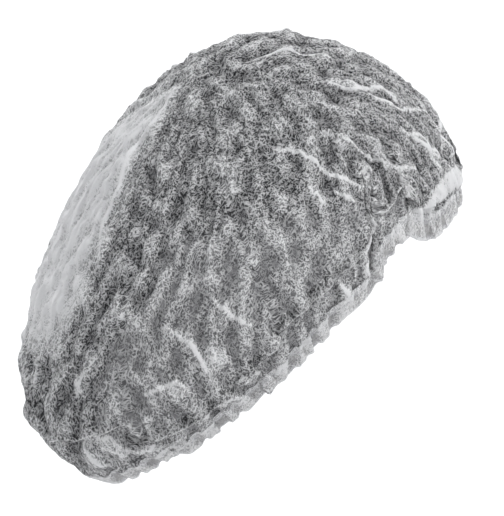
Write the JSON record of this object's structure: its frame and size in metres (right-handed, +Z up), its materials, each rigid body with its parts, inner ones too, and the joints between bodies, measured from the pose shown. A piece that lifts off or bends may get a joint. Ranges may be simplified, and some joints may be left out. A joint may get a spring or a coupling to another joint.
{
  "type": "bouffant cap",
  "caption": "Disposable bouffant hair cover of thin translucent nonwoven, gathered on an elastic rim, in its worn shape.",
  "frame": {"origin": "centre of the elastic opening, midway between its foremost and rearmost points", "axes": "+Z is up as worn, the front of the cap (forehead) faces -Y, the wearer's right is -X; the opening plane drops 33 degrees towards the nape"},
  "size_m": [0.1642, 0.268, 0.2195],
  "materials": {
    "nonwoven_sheet": "thin translucent spunbond polypropylene, one ply",
    "nonwoven_hem": "spunbond polypropylene, two plies",
    "elastic": "matt covered elastic tape",
    "thread": "white polyester thread"
  },
  "bodies": {
    "root": {"crown_sheet": "nonwoven_sheet", "hem_casing": "nonwoven_hem", "elastic_band": "elastic", "elastic_tack_stitches": "thread", "hem_seam_thread": "thread"}
  },
  "joints": []
}
